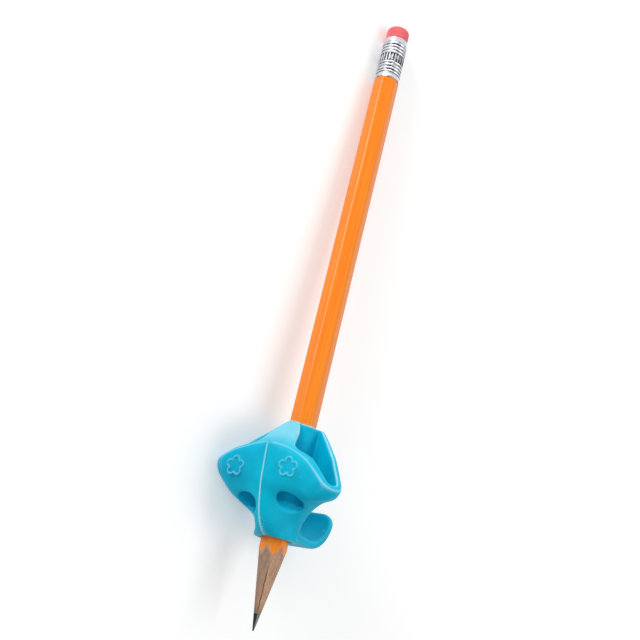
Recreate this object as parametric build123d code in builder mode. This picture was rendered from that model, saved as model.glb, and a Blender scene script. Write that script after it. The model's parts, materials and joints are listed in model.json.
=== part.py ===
from build123d import *

import os
from math import asin, atan2, cos, hypot, pi, radians, sin, tan

# A silicone writing-aid grip on a hexagonal wood-cased pencil. Sizes are in millimetres, angles in degrees.
# The pieces are drawn upright: the pencil's axis is Z, the lead's point is at height 0 and the eraser on top.
# The grip's ridge faces -Y, its thumb pocket +X, its index pocket -X and its middle-finger hook +Y.
# At the end every piece is laid down as the pair lies on a table, with the eraser towards +X.

# Pencil
pencil_length = 189.0
across_flats = 7.0
corner_rounding = 1.4
flat_facing = 36.5
lacquer_thickness = 0.12
lead_diameter = 1.8
point_angle = 18.6
point_flat = 0.4
glue_gap = 0.03

# Ferrule and eraser
ferrule_length = 14.5
ferrule_diameter = 7.3
ferrule_wall = 0.34
bead_height = 0.2
bead_rounding = 0.42
bead_pitch = 1.1
lower_beads = 4
upper_beads = 4
plain_band = 1.6
rib_count = 24
rib_rounding = 0.25
rib_height = 0.12
crimp_count = 6
crimp_rounding = 0.6
crimp_depth = 0.12
tenon_length = 7.0
eraser_height = 4.6
eraser_swell = 0.2
eraser_rounding = 1.3

# Grip: the hub, and the rollers that a belt round its outside would run on at its widest level
grip_front = 24.4
grip_length = 32.0
bore_clearance = 0.1
hub_wall = 1.4
widest_height = 15.6
ridge_reach = 14.7
ridge_rounding = 3.0
thumb_side = 16.6
thumb_forward = 8.6
index_side = 12.6
index_forward = 10.4
wing_rounding = 4.0

# Grip: the slope of the top, from the collar down over each pocket's mouth
collar_radius = 6.2
saddle_reach = 15.2
saddle_slope = 45.0
thumb_slope = 54.0
index_slope = 45.0

# Grip: finger pockets and fingertip windows. Shares of widest_height give the heights of floor and window
pocket_wall = 2.0
thumb_floor_share = 0.6
index_floor_share = 0.47
web_share = 0.3
web_growth = 0.3
pocket_back_share = 0.86
pocket_step = 0.15
window_width = 8.3
thumb_window_tall = 5.0
index_window_tall = 6.6
thumb_window_share = 0.525
index_window_share = 0.43
window_reach = 11.3
thumb_window_facing = 39.5
index_window_facing = 30.0
thumb_window_turn = -22.0
index_window_turn = -8.0
window_droop = 35.0
window_depth = 10.6

# Grip: middle-finger hook
hook_thickness = 2.2
hook_half_width = 6.4
hook_reach = 18.0
hook_floor_height = 1.7
hook_bend = 9.5
hook_tip_height = 12.5
hook_tip_rounding = 3.5

# Grip: raised flowers and parting line. The flowers' height is a share of widest_height
thumb_flower_side = 6.9
index_flower_side = 8.9
thumb_flower_share = 1.09
index_flower_share = 1.0
flower_petals = 5
petal_radius = 1.15
petal_ring = 1.7
petal_line = 0.45
flower_relief = 0.35
parting_width = 0.5
parting_relief = 0.3

# How far the outside has opened, from the bare hub at 0 to its widest form at 1.
# Each section has its height as a share of widest_height, then the shares of the ridge, the thumb wing
# and the index wing.
grip_sections = [
    (0.0, 0.08, 0.03, 0.03),
    (0.1, 0.487, 0.05, 0.05),
    (0.28, 0.684, 0.08, 0.09),
    (0.46, 0.8, 0.17, 0.36),
    (0.64, 0.88, 0.4, 0.68),
    (0.82, 0.945, 0.85, 0.88),
    (1.0, 0.985, 1.0, 1.0),
    (1.25, 1.03, 1.0, 1.0),
    (1.5, 1.06, 1.0, 1.0),
    (1.8, 1.09, 1.0, 1.0),
    (2.1, 1.12, 1.0, 1.0),
]
ridge_drawn_in = 0.4

# Values that follow from the ones above
lead_radius = lead_diameter / 2
corner_radius = (across_flats / 2 - corner_rounding) / cos(radians(30)) + corner_rounding
point_slope = tan(radians(point_angle / 2))
ferrule_radius = ferrule_diameter / 2
ferrule_inside = ferrule_radius - ferrule_wall
tenon_radius = ferrule_inside - glue_gap
ferrule_top = pencil_length - eraser_height
ferrule_bottom = ferrule_top - ferrule_length
wood_top = ferrule_bottom + tenon_length
bore_radius = corner_radius + bore_clearance
hub_radius = bore_radius + hub_wall
grip_top = grip_front + grip_length
flat_angle = flat_facing - 90


def upright(height):
    """Gives the level plane at this height over the lead's point."""
    return Plane.XY.offset(height)


def barrel_section(flats, rounding):
    """Gives the hexagon with rounded corners, one of its flats facing flat_angle."""
    with BuildSketch() as section:
        RegularPolygon(flats / 2, 6, major_radius=False, rotation=flat_angle + 30)
        fillet(section.vertices(), rounding)
    return section.sketch


def between(first, second, share):
    """Gives the values that lie at this share of the way from the first ones to the second."""
    return tuple(a + (b - a) * share for a, b in zip(first, second))


def contact(first, second):
    """Gives the outward direction in which a belt that runs from one roller to the next touches both."""
    (x1, y1, r1), (x2, y2, r2) = first, second
    return atan2(y2 - y1, x2 - x1) - pi / 2 + asin((r1 - r2) / hypot(x2 - x1, y2 - y1))


def rim(roller, angle):
    """Gives the point of a roller's edge in this direction from its centre."""
    x, y, r = roller
    return (x + r * cos(angle), y + r * sin(angle))


def belt(rollers):
    """Draws the line that a belt takes round the rollers (x, y, radius), given anticlockwise."""
    following = rollers[1:] + rollers[:1]
    leaving = [contact(roller, other) for roller, other in zip(rollers, following)]
    for index, roller in enumerate(rollers):
        turn = (leaving[index] - leaving[index - 1]) % (2 * pi)
        ThreePointArc(
            rim(roller, leaving[index] - turn),
            rim(roller, leaving[index] - turn / 2),
            rim(roller, leaving[index]),
        )
        Line(rim(roller, leaving[index]), rim(following[index], leaving[index]))


def outer_rollers(ridge, thumb, index):
    """Gives the ridge, thumb, hub and index rollers, opened from the hub by these shares."""
    hub = (0, 0, hub_radius)
    drawn_in = min(ridge / ridge_drawn_in, 1)
    ridge_size = hub_radius + (ridge_rounding - hub_radius) * drawn_in
    ridge_roller = (0, (ridge_rounding - ridge_reach) * ridge, ridge_size)
    thumb_roller = between(hub, (thumb_side, -thumb_forward, wing_rounding), thumb)
    index_roller = between(hub, (-index_side, -index_forward, wing_rounding), index)
    return [ridge_roller, thumb_roller, hub, index_roller]


def pocket_rollers(level, side):
    """Gives the rollers of one pocket's section, a wall's thickness inside the outer belt."""
    ridge_roller, thumb_roller, hub, index_roller = outer_rollers(*shares_at(level * widest_height))
    wing_roller = thumb_roller if side > 0 else index_roller
    web = web_share + web_growth * max(level - 1, 0)
    front = between(ridge_roller, wing_roller, web)
    back = between(wing_roller, hub, pocket_back_share)
    order = (front, wing_roller, back) if side > 0 else (front, back, wing_roller)
    return [(x, y, r - pocket_wall) for x, y, r in order]


def shares_at(height):
    """Gives the ridge's and each wing's share at a height over the grip's front."""
    level = height / widest_height
    for lower, upper in zip(grip_sections, grip_sections[1:]):
        if level <= upper[0]:
            return between(lower, upper, (level - lower[0]) / (upper[0] - lower[0]))[1:]


def panel_point(height, side):
    """Gives the point on a pocket's front that is this far beside the ridge and over the grip's front."""
    ridge_roller, thumb_roller, hub, index_roller = outer_rollers(*shares_at(height))
    ends = (ridge_roller, thumb_roller) if side > 0 else (index_roller, ridge_roller)
    angle = contact(*ends)
    x, y = rim(ridge_roller, angle)
    return Vector(side, y - (side - x) / tan(angle), grip_front + height)


def panel_plane(side):
    """Gives the plane on a pocket's front where its flower stands, with its upright up."""
    flower_height = (thumb_flower_share if side > 0 else index_flower_share) * widest_height
    middle = panel_point(flower_height, side)
    across = panel_point(flower_height, side + petal_ring) - middle
    rise = panel_point(flower_height + petal_ring, side) - middle
    return Plane(middle, x_dir=across, z_dir=across.cross(rise))


def finger_pocket(side):
    """Gives a finger's hollow and its fingertip window, on the thumb's side (1) or the index side (-1)."""
    floor_share = thumb_floor_share if side > 0 else index_floor_share
    levels = [section[0] for section in grip_sections if section[0] > floor_share + pocket_step]
    levels = [floor_share] + levels
    window_facing = thumb_window_facing if side > 0 else index_window_facing
    window_share = thumb_window_share if side > 0 else index_window_share
    window_turn = thumb_window_turn if side > 0 else index_window_turn
    window_tall = thumb_window_tall if side > 0 else index_window_tall
    facing = radians(window_facing) * side
    droop = radians(window_droop)
    window_height = window_share * widest_height
    window = Plane(
        origin=(window_reach * sin(facing), -window_reach * cos(facing), grip_front + window_height),
        x_dir=(cos(facing), sin(facing), 0),
        z_dir=(sin(facing) * cos(droop), -cos(facing) * cos(droop), -sin(droop)),
    )
    with BuildPart() as pocket:
        for level in levels:
            with BuildSketch(upright(grip_front + level * widest_height)):
                with BuildLine():
                    belt(pocket_rollers(level, side))
                make_face()
        loft()
        with BuildSketch(upright(grip_front)):
            Circle(hub_radius)
        extrude(amount=levels[-1] * widest_height, mode=Mode.SUBTRACT)
        with BuildSketch(window):
            Ellipse(window_width / 2, window_tall / 2, rotation=window_turn)
        extrude(amount=window_depth / 2, both=True)
    return pocket.part


def flower(side):
    """Gives the raised outline of a flower on the front of one pocket."""
    with BuildPart() as outline:
        with BuildSketch(panel_plane(side).offset(-pocket_wall / 2)):
            Circle(petal_ring)
            with PolarLocations(petal_ring, flower_petals, start_angle=90):
                Circle(petal_radius)
            offset(amount=-petal_line, mode=Mode.SUBTRACT)
        extrude(amount=pocket_wall / 2 + flower_relief)
    return outline.part


def sloping_top(slope):
    """Gives half of the space over the grip, which falls at the saddle's slope and then at this one."""
    top_height = grip_sections[-1][0] * widest_height + grip_top
    saddle_height = grip_top - (saddle_reach - collar_radius) * tan(radians(saddle_slope))
    outer_reach = saddle_reach + (saddle_height - grip_front) / tan(radians(slope))
    with BuildPart() as space:
        with BuildSketch(Plane.YZ):
            with BuildLine():
                Polyline(
                    (0, grip_top),
                    (-collar_radius, grip_top),
                    (-saddle_reach, saddle_height),
                    (-outer_reach, grip_front),
                    (-outer_reach, top_height),
                    (0, top_height),
                    close=True,
                )
            make_face()
        revolve(axis=Axis.Z, revolution_arc=180)
    return space.part


# Grip
with BuildPart() as hook:
    with BuildSketch(Plane.YZ):
        with BuildLine():
            floor_level = grip_front + hook_floor_height
            floor_run = Line((0, floor_level), (hook_reach - hook_bend, floor_level))
            bend = TangentArc(floor_run @ 1, (hook_reach, floor_level + hook_bend), tangent=(1, 0))
            Line(bend @ 1, (hook_reach, grip_front + hook_tip_height))
        trace(line_width=hook_thickness)
    extrude(amount=hook_half_width, both=True)
    fillet(hook.edges().filter_by(Axis.Y).group_by(Axis.Z)[-1], hook_tip_rounding)

with BuildPart() as grip:
    for level, *shares in grip_sections:
        with BuildSketch(upright(grip_front + level * widest_height)):
            with BuildLine():
                belt(outer_rollers(*shares))
            make_face()
    loft()
    with BuildSketch(Plane.YZ):
        with BuildLine():
            crest_points = []
            for level, *shares in grip_sections:
                _, y, r = outer_rollers(*shares)[0]
                crest_points.append((y - r - parting_relief, grip_front + level * widest_height))
            crest = Spline(crest_points)
            Polyline(crest @ 1, (0, crest_points[-1][1]), (0, grip_front), crest @ 0)
        make_face()
    extrude(amount=parting_width / 2, both=True)
    index_top = mirror(sloping_top(index_slope), about=Plane.YZ, mode=Mode.PRIVATE)
    add([sloping_top(thumb_slope), index_top, finger_pocket(1), finger_pocket(-1)], mode=Mode.SUBTRACT)
    add([flower(thumb_flower_side), flower(-index_flower_side), hook.part])
    with BuildSketch(upright(grip_front)):
        Circle(bore_radius)
    extrude(amount=grip_length, mode=Mode.SUBTRACT)

# Pencil: what the sharpener leaves, the paint coat, the two grooved slats and the lead
wood_flats = across_flats - 2 * lacquer_thickness
wood_rounding = corner_rounding - lacquer_thickness
cone_reach = corner_radius + lead_radius
cone_height = (cone_reach - point_flat / 2) / point_slope
seam_normal = (cos(radians(flat_angle)), sin(radians(flat_angle)), 0)
seam = Plane((0, 0, 0), x_dir=(0, 0, 1), z_dir=seam_normal)

with BuildPart() as sharpened:
    with BuildSketch(Plane.XZ):
        Polygon(
            (0, 0),
            (point_flat / 2, 0),
            (cone_reach, cone_height),
            (cone_reach, pencil_length),
            (0, pencil_length),
            align=None,
        )
    revolve(axis=Axis.Z)

with BuildPart() as lacquer:
    with BuildSketch():
        add(barrel_section(across_flats, corner_rounding))
        add(barrel_section(wood_flats, wood_rounding), mode=Mode.SUBTRACT)
    extrude(amount=ferrule_bottom)
    add(sharpened.part, mode=Mode.INTERSECT)

with BuildPart() as casing:
    with BuildSketch():
        add(barrel_section(wood_flats - 2 * glue_gap, wood_rounding - glue_gap))
    extrude(amount=ferrule_bottom)
    with BuildSketch(upright(ferrule_bottom)):
        Circle(tenon_radius)
    extrude(amount=tenon_length)
    with BuildSketch():
        Circle(lead_radius + glue_gap)
    extrude(amount=wood_top, mode=Mode.SUBTRACT)
    add(sharpened.part, mode=Mode.INTERSECT)

with BuildPart() as wood_slat_upper:
    add(casing.part)
    split(bisect_by=seam, keep=Keep.TOP)

with BuildPart() as wood_slat_lower:
    add(casing.part)
    split(bisect_by=seam, keep=Keep.BOTTOM)

with BuildPart() as lead:
    with BuildSketch():
        Circle(lead_radius)
    extrude(amount=wood_top)
    add(sharpened.part, mode=Mode.INTERSECT)

# Ferrule: a beaded and ribbed sleeve, pricked into the tenon near its lower end
first_bead = ferrule_bottom + plain_band + bead_pitch / 2
last_bead = ferrule_top - plain_band - bead_pitch / 2
bead_heights = [first_bead + index * bead_pitch for index in range(lower_beads)]
bead_heights += [last_bead - index * bead_pitch for index in range(upper_beads)]
rib_bottom = first_bead + (lower_beads - 0.5) * bead_pitch
rib_top = last_bead - (upper_beads - 0.5) * bead_pitch

with BuildPart() as ferrule:
    with BuildSketch(Plane.XZ):
        with Locations((ferrule_radius / 2, (ferrule_bottom + ferrule_top) / 2)):
            Rectangle(ferrule_radius, ferrule_length)
        with Locations(*[(ferrule_radius + bead_height - bead_rounding, height) for height in bead_heights]):
            Circle(bead_rounding)
    revolve(axis=Axis.Z)
    with BuildSketch(upright(rib_bottom)):
        with PolarLocations(ferrule_radius + rib_height - rib_rounding, rib_count):
            Circle(rib_rounding)
    extrude(amount=rib_top - rib_bottom)
    with Locations(upright(ferrule_bottom + plain_band / 2)):
        with PolarLocations(ferrule_radius + crimp_rounding - crimp_depth, crimp_count):
            Sphere(crimp_rounding, mode=Mode.SUBTRACT)
    with BuildSketch(upright(ferrule_bottom)):
        Circle(ferrule_inside)
    extrude(amount=ferrule_length, mode=Mode.SUBTRACT)

with BuildPart() as eraser:
    with BuildSketch(upright(wood_top)):
        Circle(tenon_radius)
    extrude(amount=ferrule_top - wood_top)
    with BuildSketch(upright(ferrule_top)):
        Circle(tenon_radius + eraser_swell)
    extrude(amount=eraser_height)
    fillet(eraser.edges().sort_by(Axis.Z)[-1], eraser_rounding)

# The pair lies on the index pocket, the hook and the eraser: the table is the plane under their lowest points
foot_tolerance = 0.02
settling_rounds = 8
grip_points = grip.part.tessellate(foot_tolerance)[0]
wing_points = [point for point in grip_points if point.X < 0 and point.Y < 0]
hook_points = [point for point in grip_points if point.Y > hub_radius]
eraser_points = eraser.part.tessellate(foot_tolerance)[0]
down = Vector(-1, 0.5, 0)
for _ in range(settling_rounds):
    feet = [max(points, key=down.dot) for points in (wing_points, hook_points, eraser_points)]
    table = (feet[1] - feet[0]).cross(feet[2] - feet[0]).normalized()
    down = table if table.dot(down) > 0 else -table
axis_along = (Vector(0, 0, 1) - down * down.Z).normalized()
laying = Plane((0, 0, 0), x_dir=axis_along, z_dir=-down).location.inverse()

pieces = {
    "grip": grip,
    "lacquer": lacquer,
    "wood_slat_upper": wood_slat_upper,
    "wood_slat_lower": wood_slat_lower,
    "lead": lead,
    "ferrule": ferrule,
    "eraser": eraser,
}
laid_box = Compound(children=[piece.part.moved(laying) for piece in pieces.values()]).bounding_box()
middle = laid_box.center()
placing = Location((-middle.X, -middle.Y, -laid_box.min.Z)) * laying

os.makedirs("parts", exist_ok=True)
for name, piece in pieces.items():
    piece.part = piece.part.moved(placing)
    piece.part.label = name
    export_step(piece.part, f"parts/{name}.step")
point_place = placing.position
axis_direction = Plane(placing).z_dir
print("lead's point", point_place, "axis", axis_direction, "lying box", laid_box.size)
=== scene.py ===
import json
from math import cos, pi, radians, sin, tan

import bmesh
import bpy
import numpy as np
from mathutils import Matrix, Vector


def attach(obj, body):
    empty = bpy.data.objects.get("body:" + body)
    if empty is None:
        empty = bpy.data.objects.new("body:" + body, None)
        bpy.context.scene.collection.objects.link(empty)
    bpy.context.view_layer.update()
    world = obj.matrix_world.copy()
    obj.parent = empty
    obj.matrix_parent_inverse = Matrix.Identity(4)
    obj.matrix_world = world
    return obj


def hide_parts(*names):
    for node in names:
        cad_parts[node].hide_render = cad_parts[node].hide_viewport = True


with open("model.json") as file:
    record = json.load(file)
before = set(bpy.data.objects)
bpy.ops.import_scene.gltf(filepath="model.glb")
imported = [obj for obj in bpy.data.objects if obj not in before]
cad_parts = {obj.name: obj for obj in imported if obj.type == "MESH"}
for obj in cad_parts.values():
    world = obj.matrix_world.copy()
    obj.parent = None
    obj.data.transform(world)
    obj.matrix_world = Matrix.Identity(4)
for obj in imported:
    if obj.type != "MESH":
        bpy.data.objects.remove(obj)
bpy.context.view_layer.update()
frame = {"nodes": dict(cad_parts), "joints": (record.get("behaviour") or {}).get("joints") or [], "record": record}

scene = bpy.context.scene
scene.view_settings.view_transform = "Standard"
millimetre = 0.001


# The pencil's own frame: lead point at 0, axis up, thumb pocket to +X, ridge to -Y
mounts = {mount["name"]: mount for mount in frame["record"]["mounts"]}
eraserMiddle = 0.18605                       # along the axis from the lead's point
pencilUp = -Vector(frame["joints"][0]["axis"]).normalized()
pencilSide = Vector(mounts["middle_finger_hook"]["axis"]).normalized()
leadPoint = Vector(mounts["eraser_end"]["pos_m"]) - eraserMiddle * pencilUp
pencilTurn = Matrix((pencilSide, pencilUp.cross(pencilSide), pencilUp)).transposed()
pencilPlace = Matrix.Translation(leadPoint) @ pencilTurn.to_4x4()
print("frame loaded, lead point at", [round(v, 4) for v in leadPoint])


def screenColour(red, green, blue):
    # 0-255 values as seen on a screen, to the linear ones that shaders take
    shares = [value / 255 for value in (red, green, blue)]
    linear = [((v + 0.055) / 1.055) ** 2.4 if v > 10 / 255 else v / 12.92 for v in shares]
    return (*linear, 1.0)


class Wire:
    # a shader value that takes plain arithmetic
    def __init__(self, finish, socket):
        self.finish = finish
        self.socket = socket

    def maths(self, operation, first, second):
        return self.finish.add("ShaderNodeMath", {"operation": operation}, {0: first, 1: second})

    def __add__(self, other):
        return self.maths("ADD", self, other)

    def __radd__(self, other):
        return self.maths("ADD", other, self)

    def __sub__(self, other):
        return self.maths("SUBTRACT", self, other)

    def __rsub__(self, other):
        return self.maths("SUBTRACT", other, self)

    def __mul__(self, other):
        return self.maths("MULTIPLY", self, other)

    def __rmul__(self, other):
        return self.maths("MULTIPLY", other, self)

    def __truediv__(self, other):
        return self.maths("DIVIDE", self, other)

    def __rtruediv__(self, other):
        return self.maths("DIVIDE", other, self)

    def __pow__(self, other):
        return self.maths("POWER", self, other)

    def __rpow__(self, other):
        return self.maths("POWER", other, self)


class Finish:
    # the nodes of one material, or of the world
    def __init__(self, owner):
        self.owner = owner
        owner.use_nodes = True
        self.tree = owner.node_tree
        self.tree.nodes.clear()

    def add(self, kind, settings=None, sockets=None, output=0):
        node = self.tree.nodes.new(kind)
        for name, value in (settings or {}).items():
            setattr(node, name, value)
        for key, value in (sockets or {}).items():
            if isinstance(value, Wire):
                self.tree.links.new(value.socket, node.inputs[key])
            else:
                node.inputs[key].default_value = value
        return Wire(self, node.outputs[output]) if node.outputs else None

    def place(self):
        # millimetres in the pencil's own frame
        spot = self.add("ShaderNodeTexCoord", output="Object")
        sockets = {"Vector": spot, "Location": leadPoint, "Rotation": pencilTurn.to_euler()}
        sockets["Scale"] = (millimetre,) * 3
        return self.add("ShaderNodeMapping", {"vector_type": "TEXTURE"}, sockets)

    def part(self, vector, axis):
        return self.add("ShaderNodeSeparateXYZ", None, {0: vector}, axis)

    def stretched(self, vector, x, y, z):
        return self.add("ShaderNodeVectorMath", {"operation": "MULTIPLY"}, {0: vector, 1: (x, y, z)})

    def noise(self, vector, scale, detail=2.0, roughness=0.5):
        sockets = {"Vector": vector, "Scale": scale, "Detail": detail, "Roughness": roughness}
        return self.add("ShaderNodeTexNoise", None, sockets, "Fac")

    def ease(self, value, low, high):
        # 0 below low, 1 above high, soft between
        sockets = {"Value": value, "From Min": low, "From Max": high}
        return self.add("ShaderNodeMapRange", {"interpolation_type": "SMOOTHSTEP"}, sockets, "Result")

    def radius(self, x, y):
        return (x * x + y * y) ** 0.5

    def blend(self, amount, first, second):
        return self.add("ShaderNodeMix", {"data_type": "RGBA"}, {0: amount, 6: first, 7: second}, 2)

    def bump(self, height, distance, strength):
        sockets = {"Height": height, "Distance": distance, "Strength": strength}
        return self.add("ShaderNodeBump", None, sockets, "Normal")

    def surface(self, sockets):
        shader = self.add("ShaderNodeBsdfPrincipled", None, sockets)
        self.add("ShaderNodeOutputMaterial", None, {"Surface": shader})
        return self.owner

    def shown(self):
        # 1 on rays that come from the camera, or by way of a mirror or glass
        seen = [self.add("ShaderNodeLightPath", None, None, "Is " + ray + " Ray")
                for ray in ("Camera", "Glossy", "Transmission")]
        return self.add("ShaderNodeClamp", None, {"Value": seen[0] + seen[1] + seen[2]})


# Silicone of the grip
silicone = dict(
    body=screenColour(0, 190, 222),
    deep=screenColour(0, 174, 208),
    pale=screenColour(176, 232, 242),
    cloudScale=0.11,
    cloudEdge=(0.35, 0.65),
    handledScale=0.352,
    rimHighlightShare=0.68,
    frontFrom=(-6.0, -5.0),         # the ridge's side of the moulding
    saddleFrom=(45.5, 52.0),
    saddleHighlightShare=0.42,
    speckScale=0.55,
    speckEdge=(0.74, 0.78),
    speckShare=0.12,
    partingHalf=0.2,
    partingShare=0.8,
    partingFade=(32.0, 44.0),       # the line gets fainter up the ridge
    partingTop=(46.4, 47.0),
    flashHalf=1.1,
    flashTop=(26.0, 30.0),
    flashEdge=(0.5, 0.62),
    flashShare=0.6,
    grainScale=7.0,
    grainDepth=0.00003,
    roughness=0.38,
    handledRoughness=0.16,
    rimRoughness=0.06,
    scatter=(0.0006, 0.0016, 0.002),    # metres that red, green and blue light go inside
)


def siliconeFinish():
    f = Finish(bpy.data.materials.new("siliconeTurquoise"))
    spot = f.place()
    cloud = f.noise(spot, silicone["cloudScale"], 3)
    handled = f.noise(spot, silicone["handledScale"], 4, 0.6)
    speck = f.ease(f.noise(spot, silicone["speckScale"], 1), *silicone["speckEdge"])
    # painted highlight: rims and raised edges are painted pale, from the attribute that buildGrip stores
    rim = f.add("ShaderNodeAttribute", {"attribute_name": "rimHighlight"}, None, "Fac")
    base = f.blend(f.ease(cloud, *silicone["cloudEdge"]), silicone["deep"], silicone["body"])
    base = f.blend(rim * silicone["rimHighlightShare"] + speck * silicone["speckShare"], base, silicone["pale"])

    # painted highlight: the saddle, where the top light falls, is painted paler
    x, y, along = (f.part(spot, axis) for axis in range(3))
    front = 1 - f.ease(y, *silicone["frontFrom"])
    saddle = f.ease(along, *silicone["saddleFrom"]) * front
    base = f.blend(saddle * silicone["saddleHighlightShare"], base, silicone["pale"])

    # the mould's parting line is pale, and leaves torn flash at the foot of the ridge
    aside = (x * x) ** 0.5
    rubbed = f.noise(f.stretched(spot, 0.3, 0.3, 1.2), 1.0, 2)
    half = silicone["partingHalf"]
    line = (1 - f.ease(aside, half * 0.6, half * 1.3)) * front
    line = line * (1 - f.ease(along, *silicone["partingTop"]))
    line = line * (1.15 - f.ease(along, *silicone["partingFade"]) * 0.45) * (0.5 + rubbed * 0.8)
    tatter = f.ease(f.noise(f.stretched(spot, 1.6, 1.6, 2.6), 1.0, 3, 0.7), *silicone["flashEdge"])
    flash = (1 - f.ease(aside, half, silicone["flashHalf"])) * tatter * front
    flash = flash * (1 - f.ease(along, *silicone["flashTop"]))
    base = f.blend(line * silicone["partingShare"], base, silicone["pale"])
    base = f.blend(flash * silicone["flashShare"], base, silicone["pale"])
    grain = f.noise(spot, silicone["grainScale"], 3, 0.6)
    return f.surface({
        "Base Color": base,
        "Roughness": (silicone["roughness"] + handled * silicone["handledRoughness"]
                      + rim * silicone["rimRoughness"]),
        "Normal": f.bump(grain + flash * 2.0, silicone["grainDepth"], 0.25),
        "Specular IOR Level": 0.1,
        "Subsurface Weight": 0.1,
        "Subsurface Radius": silicone["scatter"],
        "Subsurface Scale": 1.0,
    })


# Cedar of the two slats
cedar = dict(
    light=screenColour(204, 161, 131),
    mid=screenColour(178, 139, 112),
    dark=screenColour(100, 78, 66),
    soot=screenColour(78, 70, 66),
    sootTop=(4.2, 7.5),
    sootShare=0.5,
    shadedSide=screenColour(112, 97, 86),     # painted shade with some dirt: the side left of the dark line is darker and greyer
    shadedSideShare=0.45,
    ringEdge=(0.36, 0.62),
    fibreEdge=(0.5, 0.7),
    fibreShare=0.75,
    streakAngle=-61.0,
    streakWidth=0.1,
    streakWander=0.5,
    streak=screenColour(62, 46, 38),
    streakShare=0.9,
    streakFrom=(3.0, 6.0),
    streakTo=(14.0, 19.0),
    fibreDepth=0.00006,
)


# Lacquer of the barrel
lacquer = dict(
    orange=screenColour(255, 142, 16),
    warm=screenColour(252, 130, 8),
    coneSlope=tan(radians(9.3)),
    coneStart=0.2,
    raggedDepth=0.55,
    raggedScale=1.7,
    raggedEdge=(0.42, 0.7),
    chipEdge=(0.0, 0.12),
    streakScale=1.1,
    streakEdge=(0.3, 0.7),
    peelScale=1.6,
    peelDepth=0.00002,
    coat=0.18,
)


def aboveCut(f, spot):
    # how far up the barrel a point is from the sharpener's cut, in millimetres
    x, y, along = (f.part(spot, axis) for axis in range(3))
    return along - (f.radius(x, y) - lacquer["coneStart"]) / lacquer["coneSlope"]


def cedarGrain(f, spot, fibre):
    rings = f.noise(f.stretched(spot, 1.5, 1.5, 0.05), 1.0, 4, 0.6)
    base = f.blend(f.ease(rings, *cedar["ringEdge"]), cedar["mid"], cedar["light"])
    return f.blend(f.ease(fibre, *cedar["fibreEdge"]) * cedar["fibreShare"], base, cedar["dark"])


def cedarFibre(f, spot):
    return f.noise(f.stretched(spot, 7.0, 7.0, 0.35), 1.0, 3, 0.65)


def lacquerFinish():
    f = Finish(bpy.data.materials.new("lacquerOrange"))
    spot = f.place()
    streak = f.noise(f.stretched(spot, 1.0, 1.0, 0.03), lacquer["streakScale"], 3)
    dapple = f.noise(spot, 0.5, 3)
    base = f.blend(f.ease(streak, *lacquer["streakEdge"]), lacquer["warm"], lacquer["orange"])
    # the sharpener tears the paint, so wood shows in ragged bites along its edge
    bites = f.noise(f.stretched(spot, 1.0, 1.0, 0.35), lacquer["raggedScale"], 3, 0.7)
    torn = f.ease(bites, *lacquer["raggedEdge"])
    edge = aboveCut(f, spot) - torn * lacquer["raggedDepth"]
    chip = 1 - f.ease(edge, *lacquer["chipEdge"])
    base = f.blend(chip, base, cedarGrain(f, spot, cedarFibre(f, spot)))
    peel = f.noise(spot, lacquer["peelScale"], 2)
    return f.surface({
        "Base Color": base,
        "Roughness": 0.2 + dapple * 0.1 + chip * 0.4,
        "Normal": f.bump(peel, lacquer["peelDepth"], 0.3),
        "Coat Weight": lacquer["coat"] - chip * lacquer["coat"],
        "Coat Roughness": 0.06,
        "Specular IOR Level": 0.25,
    })


def cedarFinish():
    f = Finish(bpy.data.materials.new("cedarSharpened"))
    spot = f.place()
    x, y, along = (f.part(spot, axis) for axis in range(3))
    fibre = cedarFibre(f, spot)
    base = cedarGrain(f, spot, fibre)
    # one dark line of the grain runs down the middle of the cone
    angle = radians(cedar["streakAngle"])
    wander = f.noise(f.stretched(spot, 0.2, 0.2, 0.35), 1.0, 2) - 0.5
    offset = x * sin(angle) - y * cos(angle) + wander * cedar["streakWander"]
    facing = f.ease(x * cos(angle) + y * sin(angle), 0.2, 0.5)
    # painted shade with some dirt: the side left of the dark line is painted darker and greyer
    base = f.blend(f.ease(offset, 0.0, 0.5) * facing * cedar["shadedSideShare"], base, cedar["shadedSide"])
    line = 1 - f.ease(offset * offset, 0.0, cedar["streakWidth"] ** 2 * 4)
    span = f.ease(along, *cedar["streakFrom"]) * (1 - f.ease(along, *cedar["streakTo"]))
    base = f.blend(line * span * facing * cedar["streakShare"], base, cedar["streak"])
    base = f.blend((1 - f.ease(along, *cedar["sootTop"])) * cedar["sootShare"], base, cedar["soot"])
    shaving = f.noise(f.stretched(spot, 0.4, 0.4, 3.0), 1.0, 2)
    return f.surface({
        "Base Color": base,
        "Roughness": 0.62 + fibre * 0.2,
        "Normal": f.bump(fibre * 0.7 + shaving * 0.3, cedar["fibreDepth"], 0.5),
        "Specular IOR Level": 0.35,
    })


# Graphite of the lead
graphite = dict(
    black=screenColour(10, 10, 11),
    sheen=screenColour(44, 45, 48),
    leadHighlight=screenColour(134, 134, 137),
    sheenEdge=(0.4, 0.75),
    leadHighlightAngle=-4.0,      # painted highlight: the side of the lead that is painted light grey
    leadHighlightEdge=(0.55, 0.8),
    leadHighlightShare=0.8,
    scrapeDepth=0.00004,
)


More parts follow.
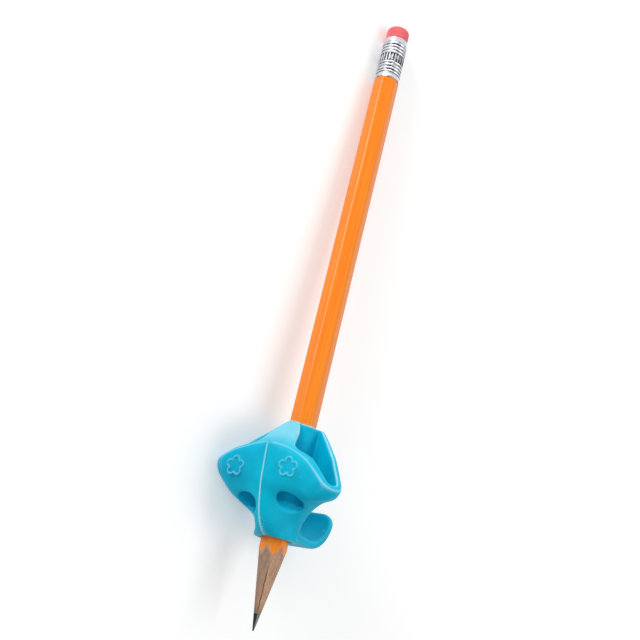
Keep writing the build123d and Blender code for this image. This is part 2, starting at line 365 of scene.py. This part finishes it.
def graphiteFinish():
    f = Finish(bpy.data.materials.new("graphiteLead"))
    spot = f.place()
    scrape = f.noise(f.stretched(spot, 6.0, 6.0, 1.1), 1.0, 3, 0.6)
    x, y = (f.part(spot, axis) for axis in range(2))
    angle = radians(graphite["leadHighlightAngle"])
    facing = (x * cos(angle) + y * sin(angle)) / (f.radius(x, y) + 0.01)
    # painted highlight: one side of the lead is painted light grey
    leadHighlit = f.ease(facing, *graphite["leadHighlightEdge"]) * graphite["leadHighlightShare"]
    base = f.blend(f.ease(scrape, *graphite["sheenEdge"]), graphite["black"], graphite["sheen"])
    return f.surface({
        "Base Color": f.blend(leadHighlit, base, graphite["leadHighlight"]),
        "Roughness": 0.42 + scrape * 0.2,
        "Metallic": 0.15,
        "Specular IOR Level": 0.3,
        "Normal": f.bump(scrape, graphite["scrapeDepth"], 0.5),
    })


# Metal of the ferrule
ferruleMetal = dict(
    bright=screenColour(226, 229, 235),
    worn=screenColour(178, 182, 190),
    grimeAndShade=screenColour(20, 20, 28),
    grimeAndShadeShare=0.95,
    wornEdge=(0.4, 0.7),
    patchEdge=(0.4, 0.6),
    sleeveRadius=3.65,
    beadedFrom=(171.3, 171.6),
    beadedTo=(182.7, 183.0),
    grooveHeight=(0.03, 0.15),
    foot=(170.0, 170.35),           # painted shadow along the lower edge, where the ferrule meets the barrel
    footShadowShare=0.7,
    rubbedDepth=0.00002,
)


def ferruleFinish():
    f = Finish(bpy.data.materials.new("ferruleAluminium"))
    spot = f.place()
    x, y, along = (f.part(spot, axis) for axis in range(3))
    rubbed = f.noise(f.stretched(spot, 0.6, 0.6, 5.0), 1.0, 4, 0.6)
    patch = f.noise(spot, 0.45, 3)
    height = f.radius(x, y) - ferruleMetal["sleeveRadius"]
    beaded = f.ease(along, *ferruleMetal["beadedFrom"]) * (1 - f.ease(along, *ferruleMetal["beadedTo"]))
    # painted shade with some dirt: the grooves between the beads are darkened
    groove = (1 - f.ease(height, *ferruleMetal["grooveHeight"])) * beaded
    base = f.blend(f.ease(rubbed, *ferruleMetal["wornEdge"]), ferruleMetal["bright"], ferruleMetal["worn"])
    soiledAndShaded = groove * (0.5 + f.ease(patch, *ferruleMetal["patchEdge"]) * 0.5)
    # painted shadow along the ferrule's lower edge
    soiledAndShaded = soiledAndShaded + (1 - f.ease(along, *ferruleMetal["foot"])) * ferruleMetal["footShadowShare"]
    base = f.blend(soiledAndShaded * ferruleMetal["grimeAndShadeShare"], base, ferruleMetal["grimeAndShade"])
    return f.surface({
        "Base Color": base,
        "Metallic": 1.0,
        "Roughness": 0.13 + rubbed * 0.12 + groove * 0.2,
        "Normal": f.bump(rubbed, ferruleMetal["rubbedDepth"], 0.3),
    })


# Rubber of the eraser
eraserRubber = dict(
    pink=screenColour(244, 120, 122),
    deep=screenColour(230, 98, 104),
    smudge=screenColour(168, 84, 86),
    deepEdge=(0.35, 0.65),
    usedFrom=(187.2, 188.9),
    usedEdge=(0.42, 0.6),
    usedShare=0.3,
    crumbScale=3.2,
    crumbDepth=0.00008,
)


def eraserFinish():
    f = Finish(bpy.data.materials.new("eraserPink"))
    spot = f.place()
    along = f.part(spot, 2)
    cloud = f.noise(spot, 0.55, 4, 0.6)
    crumb = f.noise(spot, eraserRubber["crumbScale"], 3, 0.6)
    base = f.blend(f.ease(cloud, *eraserRubber["deepEdge"]), eraserRubber["deep"], eraserRubber["pink"])
    used = f.ease(along, *eraserRubber["usedFrom"]) * f.ease(cloud, *eraserRubber["usedEdge"])
    base = f.blend(used * eraserRubber["usedShare"], base, eraserRubber["smudge"])
    return f.surface({
        "Base Color": base,
        "Roughness": 0.66 + crumb * 0.2,
        "Normal": f.bump(crumb, eraserRubber["crumbDepth"], 0.5),
        "Specular IOR Level": 0.3,
    })


def wear(node, material):
    piece = frame["nodes"][node]
    piece.data.materials.clear()
    piece.data.materials.append(material)


wear("lacquer", lacquerFinish())
cedarMaterial = cedarFinish()
wear("wood_slat_upper", cedarMaterial)
wear("wood_slat_lower", cedarMaterial)
wear("lead", graphiteFinish())
wear("ferrule", ferruleFinish())
print("pencil finishes on")


def newPiece(name, mesh, material, body, node):
    piece = bpy.data.objects.new(name, mesh)
    scene.collection.objects.link(piece)
    mesh.materials.clear()
    mesh.materials.append(material)
    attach(piece, body)
    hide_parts(node)


# Grip: the moulding with its rims rounded as soft silicone has them
gripShell = dict(
    mergeGap=0.000001,
    voxel=0.00017,
    triangles=185000,
    # places are in the pencil's frame, in millimetres
    flowerPlaces=((6.9, 41.4), (-8.9, 40.0)),
    flowerReach=3.6,
    flowerFront=-4.0,
    partingHalf=0.8,
    partingFront=-4.6,
    windowPlaces=((7.2, -8.7, 32.6), (-5.7, -9.8, 31.1)),
    windowReach=(5.2, 7.0),
    hookFrom=(-2.0, 1.5),
    hookTop=(30.0, 33.0),
    hookOut=(7.5, 9.5),
    mouthFrom=(34.0, 38.0),
    cornerPlaces=((7.1, -12.4, 48.2), (-6.6, -12.2, 48.4)),
    cornerReach=(2.0, 6.0),
    # how often, and how strongly, each part is smoothed
    detailPasses=4,
    rimPasses=16,
    softPasses=100,
    softShare=0.6,
    mouthShare=0.5,
    rimFactor=0.5,
    cornerPasses=320,
    cornerFactor=0.9,
    # middle, move and reach of each pull on the worn thumb panel
    pulls=(
        ((17.0, -8.0, 37.0), (0.7, 0.0, -1.2), 4.4),
        ((14.0, -10.8, 35.6), (0.2, -0.7, -1.9), 3.2),
    ),
    # painted highlight: how far smoothing draws a point in, in metres, when it starts to be painted pale and when
    # it is palest
    rimHighlight=(0.00006, 0.00026),
    detailHighlight=(0.000004, 0.00009),
    hookHighlight=0.1,
    windowHighlight=0.05,
)


def madeReal(piece):
    # the mesh that the modifiers give
    depsgraph = bpy.context.evaluated_depsgraph_get()
    return bpy.data.meshes.new_from_object(piece.evaluated_get(depsgraph))


def spots(mesh):
    values = np.zeros(len(mesh.vertices) * 3)
    mesh.vertices.foreach_get("co", values)
    return values.reshape(-1, 3)


def normals(mesh):
    values = np.zeros(len(mesh.vertices) * 3)
    mesh.vertex_normals.foreach_get("vector", values)
    return values.reshape(-1, 3)


def climb(values, ends):
    # 0 before the first end, 1 past the second
    return np.clip((values - ends[0]) / (ends[1] - ends[0]), 0, 1)


def nearAny(points, middles, ends):
    # 1 close to one of the middles, 0 out of reach of them all
    gaps = [np.linalg.norm(points - middle, axis=1) for middle in middles]
    return 1 - climb(np.minimum.reduce(gaps), ends)


def soften(mesh, passes, factor):
    # smooths each vertex as often as its own number says
    bm = bmesh.new()
    bm.from_mesh(mesh)
    everything = bm.verts[:]
    for turn in range(int(np.ceil(passes.max()))):
        verts = [everything[index] for index in np.flatnonzero(passes > turn)]
        bmesh.ops.smooth_vert(bm, verts=verts, factor=factor,
                              use_axis_x=True, use_axis_y=True, use_axis_z=True)
    bm.to_mesh(mesh)
    bm.free()


def buildGrip():
    bm = bmesh.new()
    bm.from_mesh(frame["nodes"]["grip"].data)
    bmesh.ops.remove_doubles(bm, verts=bm.verts, dist=gripShell["mergeGap"])
    mesh = bpy.data.meshes.new("gripRaw")
    bm.to_mesh(mesh)
    bm.free()
    raw = bpy.data.objects.new("gripRaw", mesh)
    scene.collection.objects.link(raw)
    remesh = raw.modifiers.new("even", "REMESH")
    remesh.mode = "VOXEL"
    remesh.voxel_size = gripShell["voxel"]
    even = madeReal(raw)
    bpy.data.objects.remove(raw)
    print("grip remeshed,", len(even.polygons), "faces")

    # flowers and parting line keep their edges, all else is rounded more
    before = spots(even)
    inverse = np.array(pencilPlace.inverted())
    own = (before @ inverse[:3, :3].T + inverse[:3, 3]) / millimetre
    x, y, along = own.T
    detail = (np.abs(x) < gripShell["partingHalf"]) & (y < gripShell["partingFront"])
    for side, height in gripShell["flowerPlaces"]:
        petals = np.hypot(x - side, along - height) < gripShell["flowerReach"]
        detail |= petals & (y < gripShell["flowerFront"])
    hook = climb(y, gripShell["hookFrom"]) * (1 - climb(along, gripShell["hookTop"]))
    hook = np.maximum(hook, climb(y, gripShell["hookOut"]))
    lips = nearAny(own, gripShell["windowPlaces"], gripShell["windowReach"])
    corners = nearAny(own, gripShell["cornerPlaces"], gripShell["cornerReach"])
    mouth = climb(along, gripShell["mouthFrom"]) * gripShell["mouthShare"]
    softness = np.maximum(np.maximum(hook, lips) * gripShell["softShare"], mouth)
    passes = gripShell["rimPasses"] + softness * gripShell["softPasses"]
    soften(even, np.where(detail, gripShell["detailPasses"], passes), gripShell["rimFactor"])
    # painted highlight: the further smoothing draws a point in at rims and raised edges, the paler it is painted
    drawnIn = ((before - spots(even)) * normals(even)).sum(axis=1)
    rims = climb(drawnIn, gripShell["rimHighlight"])
    paintedHighlight = np.where(detail, climb(drawnIn, gripShell["detailHighlight"]), rims)
    paintedHighlight *= 1 - hook * (1 - gripShell["hookHighlight"])
    paintedHighlight *= 1 - lips * (1 - gripShell["windowHighlight"])
    soften(even, np.where(detail, 0, corners * gripShell["cornerPasses"]), gripShell["cornerFactor"])

    # worn silicone is pulled a little out of its moulded form
    pulled = spots(even)
    for middle, move, reach in gripShell["pulls"]:
        share = np.exp(-(np.linalg.norm(own - middle, axis=1) / reach) ** 2)
        pulled += np.outer(share, pencilPlace.to_3x3() @ Vector(move)) * millimetre
    even.vertices.foreach_set("co", pulled.ravel())
    pale = even.attributes.new("rimHighlight", "FLOAT", "POINT")
    pale.data.foreach_set("value", paintedHighlight.astype(np.float32))

    thinning = bpy.data.objects.new("gripThinning", even)
    scene.collection.objects.link(thinning)
    decimate = thinning.modifiers.new("thin", "DECIMATE")
    decimate.ratio = min(1.0, gripShell["triangles"] / (2 * len(even.polygons)))
    final = madeReal(thinning)
    bpy.data.objects.remove(thinning)
    final.shade_smooth()
    print("grip rounded,", len(final.polygons), "faces")
    return final


newPiece("gripMoulding", buildGrip(), siliconeFinish(), "grip", "grip")


# Eraser: a plug that bulges over the ferrule's rim and is worn round at its end
eraserPlug = dict(
    foot=(3.2, 183.4),
    rim=(3.30, 184.35),
    swell=((3.44, 184.65), (3.48, 185.5), (3.46, 186.9)),
    shoulder=(2.2, 187.7),
    shoulderRadius=1.26,
    shoulderSteps=7,
    crown=((1.2, 188.985), (0.0, 189.0)),
    turns=64,
    mergeGap=0.000002,
)


def buildEraser():
    bm = bmesh.new()
    shape = eraserPlug
    line = [(0.0, shape["foot"][1]), shape["foot"], shape["rim"], *shape["swell"]]
    for step in range(shape["shoulderSteps"]):
        angle = pi / 2 * step / (shape["shoulderSteps"] - 1)
        line.append((shape["shoulder"][0] + shape["shoulderRadius"] * cos(angle),
                     shape["shoulder"][1] + shape["shoulderRadius"] * sin(angle)))
    line += shape["crown"]
    verts = [bm.verts.new((r * millimetre, 0, h * millimetre)) for r, h in line]
    edges = [bm.edges.new(pair) for pair in zip(verts, verts[1:])]
    bmesh.ops.spin(bm, geom=verts + edges, axis=(0, 0, 1), cent=(0, 0, 0), angle=2 * pi,
                   steps=shape["turns"], use_merge=True)
    bmesh.ops.remove_doubles(bm, verts=bm.verts, dist=shape["mergeGap"])
    bmesh.ops.recalc_face_normals(bm, faces=bm.faces)
    bmesh.ops.transform(bm, matrix=pencilPlace, verts=bm.verts)
    mesh = bpy.data.meshes.new("eraserPlug")
    bm.to_mesh(mesh)
    bm.free()
    mesh.shade_smooth()
    return mesh


newPiece("eraserPlug", buildEraser(), eraserFinish(), "pencil", "eraser")
print("eraser turned")


# Camera at the photograph's place, worked out in the pencil's frame
photoCamera = dict(
    picture=640,
    focal=1152.0,          # pixels
    sensor=36.0,
    tilt=13.83,            # of the axis in the picture, degrees
    lean=19.3,             # of the axis away from the picture plane
    turn=31.6,             # of the view round the axis
    pointPixel=(252.9, 631.0),
    centreScale=3.472,     # pixels to a millimetre where the axis passes the centre
    clipStart=0.01,
)


def placeCamera():
    c = photoCamera
    tilt, lean, turn = (radians(c[name]) for name in ("tilt", "lean", "turn"))
    dx, dy = (value - c["picture"] / 2 for value in c["pointPixel"])
    upward = dx * sin(tilt) - dy * cos(tilt)
    sideways = dx * cos(tilt) + dy * sin(tilt)
    depth = c["focal"] / c["centreScale"]
    u = upward * depth / c["focal"] / (1 - upward / c["focal"] * tan(lean))
    z = depth + u * tan(lean)
    right = -sideways * z / c["focal"]
    away = u * sin(lean) - z * cos(lean)
    spot = Vector((right * cos(turn) - away * sin(turn), right * sin(turn) + away * cos(turn),
                   -u * cos(lean) - z * sin(lean)))
    side = Vector((cos(turn), sin(turn), 0))
    rise = Vector((sin(turn) * sin(lean), -cos(turn) * sin(lean), cos(lean)))
    view = Vector((-sin(turn) * cos(lean), cos(turn) * cos(lean), sin(lean)))
    cameraRight = sin(tilt) * rise + cos(tilt) * side
    cameraUp = cos(tilt) * rise - sin(tilt) * side
    turned = Matrix((cameraRight, cameraUp, -view)).transposed()
    lens = bpy.data.cameras.new("photoCamera")
    lens.sensor_width = c["sensor"]
    lens.lens = c["focal"] / c["picture"] * c["sensor"]
    lens.clip_start = c["clipStart"]
    camera = bpy.data.objects.new("photoCamera", lens)
    scene.collection.objects.link(camera)
    camera.matrix_world = (Matrix.Translation(pencilPlace @ (spot * millimetre))
                           @ (pencilTurn @ turned).to_4x4())
    scene.camera = camera
    return camera


camera = placeCamera()
print("camera at", [round(v, 3) for v in camera.location])


# Floor, lamps and the room's light
studio = dict(
    floorHalf=3.0,
    floorDrop=0.00002,
    floorColour=(0.9, 0.9, 0.9, 1.0),
    floorLift=(0.27, 0.27, 0.27, 1.0),
    floorUnlifted=(0.0, 0.0, 0.0, 1.0),
    roomColour=(1.0, 1.0, 1.0, 1.0),
    roomStrength=0.48,
    roomShown=1.0,
    lampTarget=(0, 0, 0.08),    # on the pencil, in its own frame
    # metres from that target towards the camera's right, up and back
    lamps=dict(
        key=dict(place=(-0.35, 0.8, 0.55), size=0.45, power=4.6),
        fill=dict(place=(0.95, -0.1, 0.5), size=0.6, power=3.3),
        back=dict(place=(0.25, 1.0, -0.1), size=0.3, power=3.0),
    ),
)


def buildStudio():
    bm = bmesh.new()
    bmesh.ops.create_grid(bm, x_segments=1, y_segments=1, size=studio["floorHalf"])
    bmesh.ops.translate(bm, verts=bm.verts, vec=(0, 0, -studio["floorDrop"]))
    mesh = bpy.data.meshes.new("paleFloor")
    bm.to_mesh(mesh)
    bm.free()
    floor = bpy.data.objects.new("paleFloor", mesh)
    scene.collection.objects.link(floor)
    f = Finish(bpy.data.materials.new("floorPale"))
    mesh.materials.append(f.surface({
        "Base Color": studio["floorColour"],
        "Roughness": 0.9,
        "Specular IOR Level": 0.1,
        "Emission Color": f.blend(f.shown(), studio["floorUnlifted"], studio["floorLift"]),
        "Emission Strength": 1.0,
    }))

    scene.world = bpy.data.worlds.new("room")
    f = Finish(scene.world)
    strength = studio["roomStrength"] + f.shown() * (studio["roomShown"] - studio["roomStrength"])
    sky = f.add("ShaderNodeBackground", None, {"Color": studio["roomColour"], "Strength": strength})
    f.add("ShaderNodeOutputWorld", None, {"Surface": sky})

    target = pencilPlace @ Vector(studio["lampTarget"])
    axes = camera.matrix_world.to_3x3()
    for name, lamp in studio["lamps"].items():
        light = bpy.data.lights.new(name, "AREA")
        light.size = lamp["size"]
        light.energy = lamp["power"]
        shown = bpy.data.objects.new(name, light)
        scene.collection.objects.link(shown)
        spot = target + axes @ Vector(lamp["place"])
        shown.matrix_world = (Matrix.Translation(spot)
                              @ (spot - target).to_track_quat("Z", "Y").to_matrix().to_4x4())


buildStudio()
print("studio lit")
